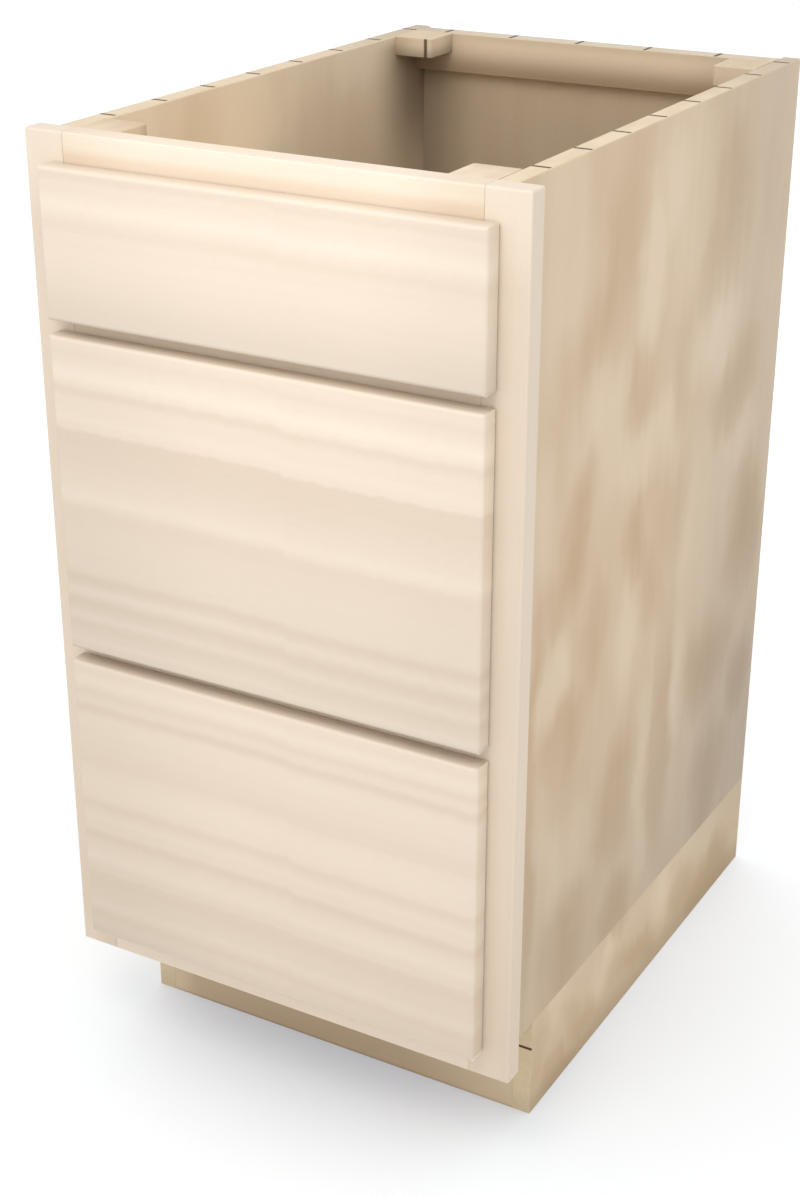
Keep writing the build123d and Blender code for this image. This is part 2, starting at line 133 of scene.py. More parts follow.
class Shader:
    """A material's or a world's nodes under construction."""

    def __init__(self, name: str, library: str = "materials") -> None:
        """Starts a new one without nodes, in "materials" or "worlds"."""
        self.holder = getattr(bpy.data, library).new(name)
        self.holder.use_nodes = True
        self.tree = self.holder.node_tree
        self.tree.nodes.clear()

    def node(self, kind: str, settings: dict[str, object] | None = None,
             values: dict[str | int, object] | None = None,
             output: str | int | None = 0) -> Signal | None:
        """Adds a node, sets it up, then fills its sockets.

        Args:
            kind: Blender's type of node.
            settings: its properties.
            values: numbers, colours or signals for its sockets, by name or number.
            output: the output socket that is returned; None for a node without one.

        Returns:
            The chosen output.
        """
        made = self.tree.nodes.new(kind)
        for name, setting in (settings or {}).items():
            setattr(made, name, setting)
        for name, value in (values or {}).items():
            self.fill(made.inputs[name], value)
        return None if output is None else Signal(self, made.outputs[output])

    def fill(self, socket: Socket, value: object) -> None:
        """Links a signal to an input socket, or sets a number, a vector or a colour."""
        if isinstance(value, Signal):
            self.tree.links.new(value.socket, socket)
        elif isinstance(value, tuple) and len(socket.default_value) == 4:
            socket.default_value = (*value, 1)
        else:
            socket.default_value = value

    @cached_property
    def point(self) -> Signal:
        """The place on the object, in metres."""
        return self.node("ShaderNodeTexCoord", output="Object")

    def split(self, vector: Signal) -> tuple[Signal, ...]:
        """A vector's X, Y and Z as three numbers."""
        node = self.node("ShaderNodeSeparateXYZ", values={0: vector}).socket.node
        return tuple(Signal(self, output) for output in node.outputs)

    @cached_property
    def axes(self) -> tuple[Signal, ...]:
        """The place's X, Y and Z."""
        return self.split(self.point)

    def facing(self, axis: Along) -> Signal:
        """1 where the surface looks along the given direction, either way, else 0."""
        normal = self.node("ShaderNodeTexCoord", output="Normal")
        return abs(self.split(normal)[axis]) > 0.75

    def scaled(self, scale: Place, shift: Place = (0.0, 0.0, 0.0)) -> Signal:
        """The place in pattern units: the scale gives them to the metre along X, Y and Z."""
        kind = "ShaderNodeVectorMath"
        stretched = self.node(kind, {"operation": "MULTIPLY"}, {0: self.point, 1: scale})
        return self.node(kind, {"operation": "ADD"}, {0: stretched, 1: shift})

    def noise(self, where: Signal, detail: float = 2.0, roughness: float = 0.5) -> Signal:
        """Soft noise, about 0.5 on average; detail adds finer layers, roughness their strength."""
        values = {"Vector": where, "Scale": 1.0, "Detail": detail, "Roughness": roughness}
        return self.node("ShaderNodeTexNoise", values=values)

    def blend(self, factor: Signal | float, first: object, second: object) -> Signal:
        """A colour between two: the first at factor 0, the second at factor 1."""
        mix = self.tree.nodes.new("ShaderNodeMix")
        mix.data_type = "RGBA"
        for index, value in ((0, factor), (6, first), (7, second)):
            self.fill(mix.inputs[index], value)
        return Signal(self, mix.outputs[2])

    def bump(self, height: Signal, distance: float) -> Signal:
        """Relief from a height signal, with the metres of height for each unit."""
        return self.node("ShaderNodeBump", values={"Height": height, "Distance": distance})

    def finish(self, colour: Signal, roughness: Signal, normal: Signal, **fixed: float) -> Material:
        """Closes the material with one surface shader.

        Args:
            colour: the base colour.
            roughness: 0 for polished, 1 for chalky.
            normal: the relief.
            fixed: other sockets of the surface shader, with underscores for spaces.

        Returns:
            The finished material.
        """
        values: dict[str | int, object] = {
            "Base Color": colour, "Roughness": roughness, "Normal": normal
        }
        values.update({name.replace("_", " "): value for name, value in fixed.items()})
        surface = self.node("ShaderNodeBsdfPrincipled", values=values)
        self.node("ShaderNodeOutputMaterial", values={"Surface": surface}, output=None)
        return self.holder


# --- Wood ---
@dataclass(frozen=True)
class Drift:
    """A slow change along one direction: nothing at its start, its full depth from its end on."""

    axis: Along
    start: float
    end: float
    depth: float
    facing: Along | None = None

    def signal(self, shader: Shader) -> Signal:
        """The change at each point, from 0 to the full depth."""
        change = shader.axes[self.axis].ease(self.start, self.end, 0.0, self.depth)
        return change if self.facing is None else change * shader.facing(self.facing)


@dataclass(frozen=True)
class Streak:
    """A level band of figure in a drawer front: deep where its depth is above 0, else pale."""

    height: float
    rise: float
    fall: float
    depth: float

    def level(self, at: Signal) -> Signal:
        """How deep the band is at each height."""
        offset = at - self.height
        away = (offset * (1 / self.rise)).above(offset * (-1 / self.fall))
        return away.ease(0.0, 1.0, self.depth, 0.0)


@dataclass(frozen=True)
class Patch:
    """A soft cloud of figure on an upright board: deep where its depth is above 0, else pale.

    A lean above 0 takes its top to the back, in metres for each metre of height.
    """

    y: float
    z: float
    reach_y: float
    reach_z: float
    depth: float
    lean: float = 0.0

    def level(self, y: Signal, z: Signal, gain: float) -> Signal:
        """How deep the cloud is at each place, times a gain."""
        middle = (z - self.z) * self.lean + self.y if self.lean else self.y
        in_y = (y - middle) * (1 / self.reach_y)
        in_z = (z - self.z) * (1 / self.reach_z)
        return (in_y * in_y + in_z * in_z).ease(-1.3, 3.0, self.depth * gain, 0.0)


def table(kind: type, lengths: int, *rows: tuple[float, ...]) -> tuple:
    """Makes one thing for each row of a table.

    Args:
        kind: what is made.
        lengths: how many of a row's first values are millimetres; the others are hundredths.
        rows: the values, in the order of the kind's fields.

    Returns:
        The things, with their lengths in metres.
    """
    units = (1000,) * lengths + (100, 100)
    return tuple(kind(*(value / unit for value, unit in zip(row, units))) for row in rows)


@dataclass(frozen=True)
class Seam:
    """Thin dark lines across a board, one or one every pitch, within a span of another axis."""

    axis: Along
    place: float
    span_axis: Along
    span: tuple[float, float]
    half_width: float
    strength: float = 1.0
    pitch: float | None = None

    def mask(self, shader: Shader) -> Signal:
        """The seam's strength on the lines, else 0."""
        off = shader.axes[self.axis] - self.place
        if self.pitch is not None:
            off = ((off * (1 / self.pitch) + 0.5).fraction() - 0.5) * self.pitch
        along = shader.axes[self.span_axis]
        on_line = abs(off).ease(self.half_width * 0.6, self.half_width * 1.4, self.strength, 0.0)
        return on_line * (along > self.span[0]) * (along < self.span[1])


@dataclass(frozen=True)
class Shade:
    """Painted light and shade: a second colour, darker to paint shade and paler to paint light,
    that comes in along some drifts, which are multiplied.
    """

    colour: Colour
    drifts: tuple[Drift, ...]

    def over(self, shader: Shader, colour: Signal) -> Signal:
        """Lays this painted shade or light over a colour."""
        factor: Signal | float = 1.0
        for drift in self.drifts:
            factor = factor * drift.signal(shader)
        return shader.blend(factor, colour, self.colour)


def shade(colour: Colour, *drifts: tuple) -> Shade:
    """A painted shade or light from its drifts, each given as a row of a drift's fields."""
    return Shade(colour, tuple(Drift(*row) for row in drifts))


@dataclass(frozen=True)
class Wood:
    """One board's wood: its colours, the run of its grain and how strong its figure is."""

    name: str
    grain: Along
    pale: Colour
    deep: Colour
    cloud: float
    ribbon: float
    ribbon_width: float
    fibre: float
    base: float = 0.4
    cloud_size: float = 0.09
    seed: float = 0.0
    roughness: float = 0.46
    end: Colour | None = None
    edge: Colour | None = None
    streaks: tuple[Streak, ...] = ()
    patches: tuple[Patch, ...] = ()
    patch_gain: float = 0.95
    # slow changes of the figure's level; painted light and shade on the face frame, painted shade
    # near the floor on the plinth strips
    drifts: tuple[Drift, ...] = ()
    # painted light and shade laid over the wood's colour
    shades: tuple[Shade, ...] = ()
    seams: tuple[Seam, ...] = ()
    # painted shade: pale and deep colours for where shade falls, and the drifts that bring them in
    far: tuple[Colour, Colour] | None = None
    far_drifts: tuple[Drift, ...] = ()

    def stretch(self, along: float, across: float) -> Place:
        """Pattern units to the metre with and across the grain, as X, Y and Z."""
        return tuple(along if i == self.grain else across for i in range(3))

    def level(self, shader: Shader) -> Signal:
        """How deep the figure is at each point, 0 pale to 1 deep, before the fine fibres; on some
        boards its drifts add painted light and shade.
        """
        shift = (self.seed, self.seed * 1.7, self.seed * 0.6)
        cloud_scale = self.stretch(0.5 / self.cloud_size, 1 / self.cloud_size)
        clouds = shader.noise(shader.scaled(cloud_scale, shift), 1.5)
        ribbon_scale = self.stretch(1.4, 1 / self.ribbon_width)
        ribbons = shader.noise(shader.scaled(ribbon_scale, shift), 2.5, 0.55)
        level = self.base + (clouds - 0.5) * self.cloud * 3 + (ribbons - 0.5) * self.ribbon * 2
        if self.streaks:
            level = level + self.streak_level(shader, shift)
        if self.patches:
            level = level + self.patch_level(shader, shift)
        for drift in self.drifts:
            level = level + drift.signal(shader)
        return level

    def streak_level(self, shader: Shader, shift: Place) -> Signal:
        """The placed bands of a drawer front, wavering, and a little lower right of its middle."""
        x, _, z = shader.axes
        drift = shader.noise(shader.scaled((6.0, 6.0, 2.0), shift), 0.0)
        ripple = shader.noise(shader.scaled((75.0, 75.0, 12.0), shift), 1.0)
        height = z + x.ease(*FIGURE_BREAK, 0.0, FIGURE_DROP)
        height = height + (drift - 0.5) * 0.004 + (ripple - 0.5) * 0.0045
        return sum((streak.level(height) for streak in self.streaks), 0.0)

    def patch_level(self, shader: Shader, shift: Place) -> Signal:
        """The placed clouds of a side panel, with wandering borders, drawn out up and down."""
        _, y, z = shader.axes
        wander_y = shader.noise(shader.scaled((9.0, 16.0, 11.0), shift), 2.0)
        wander_z = shader.noise(shader.scaled((9.0, 15.0, 10.0), (5.0, 1.0, 8.0)), 2.0)
        lines = shader.noise(shader.scaled((60.0, 60.0, 3.0), shift), 1.0)
        y = y + (wander_y - 0.5) * 0.055
        z = z + (wander_z - 0.5) * 0.07 + (lines - 0.5) * 0.03
        return sum((patch.level(y, z, self.patch_gain) for patch in self.patches), 0.0)

    def tone(self, shader: Shader, level: Signal) -> Signal:
        """The colour for each level of the figure, with the far colours of painted shade where they
        come in.
        """
        near = shader.blend(level, self.pale, self.deep)
        if self.far is None:
            return near
        reach = sum((drift.signal(shader) for drift in self.far_drifts), 0.0)
        return shader.blend(reach.below(1.0), near, shader.blend(level, *self.far))

    def make(self) -> Material:
        """Builds the material."""
        shader = Shader(self.name)
        shift = (self.seed * 0.3, self.seed, self.seed * 2.1)
        fibres = shader.noise(shader.scaled(self.stretch(22.0, 1300.0), shift), 2.0, 0.6)
        pores = shader.noise(shader.scaled(self.stretch(110.0, 1900.0), shift), 0.0)
        flecks = pores.ease(0.66, 0.76)
        level = self.level(shader) + (fibres - 0.5) * self.fibre * 2 + flecks * self.fibre * 0.9
        colour = self.tone(shader, level.above(0.0).below(1.0))
        if self.end is not None:
            speck = shader.noise(shader.scaled((1500.0,) * 3, shift), 1.0)
            end = shader.blend(speck.ease(0.35, 0.7, 0.0, 0.45), self.end, self.deep)
            colour = shader.blend(shader.facing(self.grain), colour, end)
        if self.edge is not None:
            plies = shader.noise(shader.scaled((60.0, 22.0, 22.0), shift), 1.0)
            edge = shader.blend(plies.ease(0.3, 0.75, 0.0, 0.3), self.edge, self.deep)
            colour = shader.blend(shader.facing(UP), colour, edge)
        # painted light and shade over the wood's colour
        for layer in self.shades:
            colour = layer.over(shader, colour)
        for seam in self.seams:
            colour = shader.blend(seam.mask(shader), colour, SEAM_BROWN)
        relief = shader.bump(fibres + flecks * -0.6, FIBRE_RELIEF)
        roughness = self.roughness + (fibres - 0.5) * 0.12 + flecks * 0.08
        return shader.finish(colour, roughness, relief, Specular_IOR_Level=0.28)


# colours of painted shade, blended over the wood where shade falls
SHADE_UMBER, SHADE_WARM_BROWN, SHADE_CORNER_BROWN = rgb("43352A"), rgb("8C673F"), rgb("47341F")
SEAM_BROWN = rgb("432004")
FIBRE_RELIEF = 0.00006
FIGURE_BREAK = (0.019, 0.025)  # where a front's bands step down, right of its middle
FIGURE_DROP = 0.0028

SEAM_PITCH = 0.0726
TOP_FACE = (TOP_Z - 0.0001, 1.0)  # only the level top, without its eased edges
DEPTH_SEAMS = Seam(TO_BACK, FRONT_Y, UP, TOP_FACE, 0.0021, pitch=SEAM_PITCH)
WIDTH_SEAMS = Seam(ACROSS, -HALF_WIDTH - 0.0014, UP, TOP_FACE, 0.0019, pitch=SEAM_PITCH)
BLOCK_SEAM = Seam(ACROSS, -0.1558, UP, (0.0, TOP_Z - 0.0006), 0.0018, 0.85)
STRIP_SEAM = Seam(UP, 0.0722, TO_BACK, (-1.0, TOE_Y + 0.001), 0.0014, 0.95)
JOINT_LINES = tuple(
    Seam(ACROSS, x, UP, (0.0, 1.0), 0.0007, 0.22) for x in (-HALF_OPENING, HALF_OPENING)
)
EASED = (TO_BACK, -0.3135, -0.2970)  # where painted shade darkens a drawer front's eased edges and what lies behind them
LEFT_INSIDE = (ACROSS, -0.1925, -0.1915, 1.0)  # only the inner face of the left panel, for its painted light and shade
BACK_INSIDE = (TO_BACK, 0.3040, 0.3025, 1.0)  # only the inner face of the back panel, for its painted shade


@dataclass(frozen=True)
class FrontFigure:
    """What is a drawer front's own: its figure and its painted light and shade."""

    base: float
    shade_down: tuple[Drift, ...]  # painted shade that darkens it on its way down
    foot: Drift  # painted shade that darkens it at its lower edge
    left: float  # how much painted shade darkens it towards its left end
    right: float  # how much painted shade darkens it towards its right end
    eased: float  # how much painted shade darkens its upper and lower eased edges
    streaks: tuple[Streak, ...]
    lit: tuple[Shade, ...] = ()  # painted light from below, on the lower eased edge


FRONT_FIGURES: dict[str, FrontFigure] = {
    "top": FrontFigure(
        0.28, (Drift(UP, 0.785, 0.722, 0.125),), Drift(UP, 0.7289, 0.7239, 0.11),
        0.065, 0.070, 0.16,
        table(Streak, 3, (846, 12, 6, 17), (823, 14, 12, -26), (806, 7, 9, 12)),
    ),
    "middle": FrontFigure(
        0.30, (Drift(UP, 0.66, 0.43, 0.135),), Drift(UP, 0.43045, 0.42545, 0.11),
        0.095, 0.030, 0.26,
        table(Streak, 3, (700, 7, 6, 10), (681.5, 14, 12, -27), (667.5, 6, 9, 24),
              (643, 10, 8, -8), (630, 5, 62, 36), (572.5, 14, 8, -15), (561, 6, 36, 16),
              (512, 14, 12, -6), (496.5, 7, 11, 26), (484, 6, 6, -12), (473, 7, 11, 22),
              (460, 5, 5, -10), (451, 7, 8, 14), (437, 6, 6, -14)),
    ),
    "bottom": FrontFigure(
        0.36, (Drift(UP, 0.46, 0.38, 0.045), Drift(UP, 0.30, 0.125, 0.095)),
        Drift(UP, 0.145, 0.133, 0.07),
        0.095, 0.012, 0.26,
        table(Streak, 3, (396.5, 10, 8, -18), (385.5, 6, 6, 14), (370, 7, 10, 28),
              (357, 10, 12, -7), (315, 34, 7, 16), (295, 14, 20, -8), (271, 8, 12, 22),
              (258, 5, 6, -5), (239, 8, 12, 26), (216, 14, 12, -15), (196, 6, 34, 20),
              (164, 7, 8, -9), (151, 8, 12, 17), (137, 6, 6, -4)),
        # painted light on the bottom front's lower eased edge
        (shade(rgb("FFEFD6"), (UP, 0.1298, 0.1278, 0.80)),),
    ),
}

PANEL_PATCHES = table(
    Patch, 4,
    (-72, 810, 28, 85, 46, 16), (-140, 722, 36, 34, 36, 50), (155, 775, 46, 55, 44),
    (128, 850, 30, 45, 22), (126, 715, 30, 26, 22), (270, 780, 20, 50, 16),
    (-26, 645, 18, 26, 40), (66, 645, 20, 46, 24), (-145, 578, 24, 42, 56, 20),
    (-168, 520, 38, 28, 40, 50), (-27, 506, 24, 30, 56), (18, 445, 22, 42, 40, -30),
    (64, 500, 28, 42, 34), (197, 585, 44, 32, 42, 50), (-110, 450, 22, 44, 44),
    (-165, 375, 38, 30, 42), (-150, 318, 30, 34, 18), (255, 430, 36, 58, 56),
    (62, 370, 20, 60, 30), (60, 240, 21, 85, 36), (172, 305, 52, 46, 60),
    (-50, 245, 32, 52, 56, 15), (-26, 312, 26, 30, 26, 40), (270, 245, 25, 38, 50),
    (196, 160, 34, 58, 52), (-30, 124, 28, 34, 60), (-152, 146, 34, 56, 44),
    (-228, 440, 12, 60, 40), (-228, 280, 12, 120, 50),
    (-20, 735, 21, 58, -62), (12, 815, 32, 50, -30, 40), (60, 790, 40, 70, -20),
    (-10, 590, 75, 32, -40), (145, 650, 52, 32, -44, 40), (-184, 442, 27, 32, -46),
    (-34, 425, 24, 50, -34), (-150, 250, 56, 46, -36), (97, 310, 19, 54, -44),
    (20, 240, 17, 80, -34), (-200, 800, 45, 85, -26), (-112, 645, 46, 36, -34),
    (130, 480, 60, 60, -22), (230, 530, 40, 28, -22), (-215, 590, 20, 50, -26),
    (120, 180, 40, 60, -14),
)

LEFT_PATCHES = table(
    Patch, 4,
    (-20, 835, 28, 60, -36), (110, 800, 50, 45, 36), (-120, 835, 30, 50, 20),
    (190, 866, 50, 24, -26), (-190, 850, 30, 60, -16),
)

STRIP_PATCHES = table(
    Patch, 4,
    (-25, 104, 24, 20, 50), (-105, 52, 26, 20, 36, -120), (30, 40, 44, 20, 46, -80),
    (235, 28, 46, 26, 60), (150, 48, 28, 22, 30), (-135, 10, 40, 16, 36),
    (-195, 70, 16, 30, 26), (92, 62, 24, 34, -46), (-55, 72, 24, 20, -36),
    (-160, 80, 24, 20, -26), (205, 85, 44, 18, -20),
)

Board = tuple[str, Wood]


def board(node: str, name: str, grain: Along, kind: dict[str, object], **own: object) -> Board:
    """A board's node and its wood: what it shares with its kind, and over that what is its own."""
    return node, Wood(name, grain, **(kind | own))


FRONT = dict(pale=rgb("FFF0DD"), deep=rgb("E4D0BA"), cloud=0.05, ribbon=0.07,
             ribbon_width=0.008, fibre=0.05)
FRAME = dict(pale=rgb("F5E6D3"), deep=rgb("DBC9B3"), cloud=0.07, ribbon=0.11,
             ribbon_width=0.010, fibre=0.05)
PANEL = dict(pale=rgb("E8D4B8"), deep=rgb("C9AA85"), cloud=0.24, cloud_size=0.07,
             ribbon=0.12, ribbon_width=0.022, fibre=0.06, base=0.42)
BIRCH = dict(pale=rgb("E9D6B6"), deep=rgb("CFB288"), end=rgb("BE9B70"), cloud=0.12,
             ribbon=0.22, ribbon_width=0.007, fibre=0.09, base=0.35, roughness=0.5)
BOX_GRAINS = {"box_front": ACROSS, "box_back": ACROSS, "box_left_side": TO_BACK,
              "box_right_side": TO_BACK, "box_bottom": TO_BACK}


def front_wood(opening: str, seed: float) -> Board:
    """A drawer front with its painted shade; the seed sets its fine figure apart."""
    figure = FRONT_FIGURES[opening]
    # painted shade: darker down the front, to both ends, on the top face's right, at the foot and
    # on the eased edges
    drifts = figure.shade_down + (
        Drift(ACROSS, -0.02, -0.205, figure.left),
        Drift(ACROSS, 0.08, 0.205, figure.right),
        Drift(ACROSS, 0.05, 0.205, 0.06, UP),
        figure.foot,
        Drift(*EASED, 0.05, ACROSS),
        Drift(*EASED, figure.eased, UP),
    )
    shades = tuple(Shade(SHADE_UMBER, (drift,)) for drift in drifts) + figure.lit
    return board(f"{opening}_drawer_front", f"maple_front_{opening}", ACROSS, FRONT,
                 base=figure.base, seed=seed, streaks=figure.streaks, shades=shades)


def frame_woods() -> list[Board]:
    """The face frame."""
    # painted highlight near the top of the front faces, painted shade low down
    drifts = (Drift(UP, 0.795, 0.845, -0.30, TO_BACK), Drift(UP, 0.35, 0.11, 0.22))
    # painted shade on the top faces
    top_face_shade = (shade(SHADE_UMBER, (UP, 0.86, 0.87, 0.035, UP)),)
    rows = [
        board(f"{side}_stile", f"maple_{side}_stile", UP, FRAME, seed=seed, drifts=drifts,
              shades=top_face_shade)
        for side, seed in (("left", 1.3), ("right", 4.1))
    ]
    rows += [
        board(name, f"maple_{name}", ACROSS, FRAME, seed=seed, drifts=drifts, seams=JOINT_LINES)
        for name, seed in (("lower_mid_rail", 3.5), ("upper_mid_rail", 4.5))
    ]
    # painted highlight along the top rail's upper front, painted shade towards both ends
    rail_light_drifts = (Drift(UP, 0.856, 0.866, -0.55, TO_BACK), Drift(ACROSS, -0.11, -0.20, 0.45),
                   Drift(ACROSS, 0.10, 0.19, 0.5))
    return rows + [
        # the bottom rail's paler colours are painted light where the bottom front shades it
        board("bottom_rail", "maple_bottom_rail", ACROSS, FRAME, seed=2.5, base=0.22,
              pale=rgb("F5E7D5"), seams=JOINT_LINES),
        board("top_rail", "maple_top_rail", ACROSS, FRAME, seed=5.5, base=0.60,
              pale=rgb("FFF2DF"), deep=rgb("EBD7BF"), seams=JOINT_LINES, shades=top_face_shade,
              drifts=rail_light_drifts),
    ]


def panel_woods() -> list[Board]:
    """The side panels."""
    # painted shade: the top edges darken towards the back
    top_edge_shade = shade(rgb("B9A88F"), (TO_BACK, 0.04, 0.33, 0.70, UP))
    # painted light on the lower front part of the left panel's inner face
    mouth_light = shade(rgb("F6E2C2"), (TO_BACK, 0.20, 0.10, 0.14), (UP, 0.835, 0.79, 1.0), LEFT_INSIDE)
    # painted shade deeper in and lower down the left panel's inner face
    depth = shade(SHADE_WARM_BROWN, (TO_BACK, -0.02, 0.22, 0.07), (UP, 0.845, 0.765, 1.0), LEFT_INSIDE)
    # painted shade in the inner face's rear corner, under the back block
    corner = shade(SHADE_CORNER_BROWN, (TO_BACK, 0.190, 0.2815, 0.68), (UP, 0.8762, 0.862, 1.0),
                   (UP, 0.68, 0.83, 1.0), LEFT_INSIDE)
    # painted shade lower down the right panel
    low_shade = shade(SHADE_UMBER, (UP, 0.60, 0.10, 0.07))
    # painted shade towards the back, low down
    rear_low_shade = shade(SHADE_UMBER, (TO_BACK, 0.00, 0.30, 1.0), (UP, 0.62, 0.12, 0.12))
    return [
        # the left panel's paler colours paint light onto its inner face
        board("left_side_panel", "maple_left_panel", UP, PANEL, seed=7.7, base=0.12, cloud=0.12,
              pale=rgb("EFDEC3"), deep=rgb("D0B492"), edge=rgb("E4CFB0"), seams=(DEPTH_SEAMS,),
              shades=(mouth_light, depth, corner, top_edge_shade), patches=LEFT_PATCHES, patch_gain=0.85),
        # the right panel's far colours are painted shade, cooler towards the back and the bottom
        board("right_side_panel", "maple_right_panel", UP, PANEL, seed=2.4, base=0.40,
              cloud=0.14, edge=rgb("E8D3B4"), seams=(DEPTH_SEAMS,), patches=PANEL_PATCHES,
              shades=(low_shade, rear_low_shade, top_edge_shade), far=(rgb("DBCBB4"), rgb("B39D83")),
              far_drifts=(Drift(TO_BACK, -0.02, 0.26, 0.62), Drift(UP, 0.42, 0.10, 0.55))),
    ]


def carcass_woods() -> list[Board]:
    """The back, the floor and the hanging rail."""
    # painted shade towards the back panel's left corner
    left_corner_shade = shade(SHADE_CORNER_BROWN, (ACROSS, -0.12, -0.19, 0.42), BACK_INSIDE)
    # painted shade on the back panel's lower part
    low_back_shade = shade(SHADE_CORNER_BROWN, (UP, 0.83, 0.79, 0.07), BACK_INSIDE)
    # painted shade on the hanging rail: darker low down, under its top arris and towards both ends
    rail_shades = (
        shade(SHADE_WARM_BROWN, (UP, 0.870, 0.838, 0.62, TO_BACK)),
        shade(SHADE_CORNER_BROWN, (UP, 0.860, 0.840, 0.18, TO_BACK)),
        shade(SHADE_WARM_BROWN, (UP, 0.866, 0.8745, 0.14, TO_BACK)),
        shade(SHADE_CORNER_BROWN, (ACROSS, -0.13, -0.19, 0.18)),
        shade(SHADE_CORNER_BROWN, (ACROSS, 0.09, 0.15, 0.08, TO_BACK)),
    )
    return [
        board("back_panel", "maple_back_panel", UP, PANEL, seed=5.5, base=0.38, cloud=0.12,
              pale=rgb("E2D1B7"), deep=rgb("C3A988"), edge=rgb("D0C2AC"), seams=(WIDTH_SEAMS,),
              shades=(left_corner_shade, low_back_shade)),
        board("bottom_panel", "maple_floor", ACROSS, PANEL, seed=6.3),
        # the hanging rail's paler colours paint light on it
        board("hanging_rail", "maple_hanging_rail", ACROSS, PANEL, seed=8.8, base=0.0,
              cloud=0.12, pale=rgb("EFDCC0"), edge=rgb("D8C8B0"), seams=(WIDTH_SEAMS,),
              shades=rail_shades),
    ]


def block_woods() -> list[Board]:
    """The corner blocks: each one's top colour, set darker on the back blocks as painted shade, how
    much painted shade darkens it below its top, and its own painted shades.
    """
    blocks = (
        ("front_left", "E3CDAD", 0.20,
         (shade(SHADE_WARM_BROWN, (TO_BACK, -0.268, -0.236, 0.20, UP)),
          shade(SHADE_WARM_BROWN, (ACROSS, -0.170, -0.150, 0.12, UP)),
          shade(SHADE_UMBER, (TO_BACK, -0.252, -0.236, 0.22, ACROSS)))),
        ("front_right", "EFDCC0", 0.15,
         (shade(SHADE_WARM_BROWN, (TO_BACK, -0.256, -0.236, 0.20, UP)),
          shade(SHADE_WARM_BROWN, (ACROSS, 0.165, 0.182, 0.12, UP)))),
        ("back_left", "DAC4A4", 0.46,
         (shade(SHADE_WARM_BROWN, (ACROSS, -0.160, -0.19, 0.28, TO_BACK)),
          shade(SHADE_UMBER, (TO_BACK, 0.255, 0.2857, 0.24, ACROSS)))),
        ("back_right", "D7C2A3", 0.14, ()),
    )
    return [
        board(f"{name}_corner_block", f"maple_block_{name}", ACROSS, PANEL, seed=index * 3.1,
              base=0.20, cloud=0.05, ribbon=0.05, pale=rgb("EFDDC3"), edge=rgb(edge),
              shades=(shade(SHADE_UMBER, (UP, 0.871, 0.857, below)), *own),
              seams=(BLOCK_SEAM,) if name == "back_left" else ())
        for index, (name, edge, below, own) in enumerate(blocks)
    ]


def plinth_woods() -> list[Board]:
    """The plinth."""
    # darker towards the floor as painted shade, and paler towards the top
    foot = (Drift(UP, 0.045, 0.0, 0.30), Drift(UP, 0.070, 0.095, -0.12))
    # painted shade: a dark line at the floor, darker towards the back and at the back's top
    low_shade = (shade(SHADE_UMBER, (UP, 0.030, 0.0, 0.10)),
                 shade(SHADE_UMBER, (TO_BACK, 0.13, 0.27, 0.05)),
                 shade(SHADE_UMBER, (TO_BACK, 0.10, 0.27, 1.0), (UP, 0.05, 0.095, 0.11)))
    rows = [
        board(f"{side}_base_strip", f"maple_{side}_strip", TO_BACK, PANEL, seed=seed, base=0.52,
              cloud=0.12, deep=rgb("C3AA87"), end=rgb("E6D4B3"), seams=(STRIP_SEAM,),
              drifts=foot, shades=low_shade, patches=STRIP_PATCHES, patch_gain=0.9)
        for side, seed in (("left", 3.9), ("right", 9.2))
    ]
    ends = (Drift(ACROSS, -0.160, -0.186, -0.45), Drift(ACROSS, 0.06, 0.19, -0.5))
    return rows + [
        # the toe board's dark line at the floor is painted shade
        board("toe_kick_board", "maple_toe_board", ACROSS, PANEL, seed=0.7, base=0.90, cloud=0.20,
              deep=rgb("C0AB8E"), drifts=ends, shades=(shade(SHADE_UMBER, (UP, 0.0035, 0.0010, 0.22)),)),
        board("rear_base_rail", "maple_rear_base", ACROSS, PANEL, seed=1.9),
    ]


def drawer_woods() -> list[Board]:
    """The drawers."""
    rows = []
    for index, opening in enumerate(FRONT_FIGURES):
        rows.append(front_wood(opening, index * 2.3 + 0.4))
        rows += [
            board(f"{opening}_{part}", f"birch_{opening}_{part}", grain, BIRCH,
                  seed=index * 5.0 + place * 0.9)
            for place, (part, grain) in enumerate(BOX_GRAINS.items())
        ]
    return rows


def dress_boards() -> None:
    """Puts each wood on its CAD node."""
    rows = frame_woods() + panel_woods() + carcass_woods()
    rows += block_woods() + plinth_woods() + drawer_woods()
    for node, wood in rows:
        put_on(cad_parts[node], wood.make())
        log.info("wood %s on %s", wood.name, node)


# --- Steel and soft finishes ---
@dataclass(frozen=True)
class Steel:
    """Plated steel with drawing lines along the cabinet's depth."""

    name: str
    colour: Colour
    tint: Colour
    roughness: float = 0.34

    def make(self) -> Material:
        """Builds the material."""
        shader = Shader(self.name)
        lines = shader.noise(shader.scaled((900.0, 14.0, 900.0)), 2.0)
        bloom = shader.noise(shader.scaled((45.0, 30.0, 45.0), (3.0, 1.0, 2.0)), 3.0)
        colour = shader.blend(bloom.ease(0.35, 0.7), self.colour, self.tint)
        roughness = self.roughness + (lines - 0.5) * 0.16 + (bloom - 0.5) * 0.14
        return shader.finish(colour, roughness, shader.bump(lines, 0.00002), Metallic=1.0)


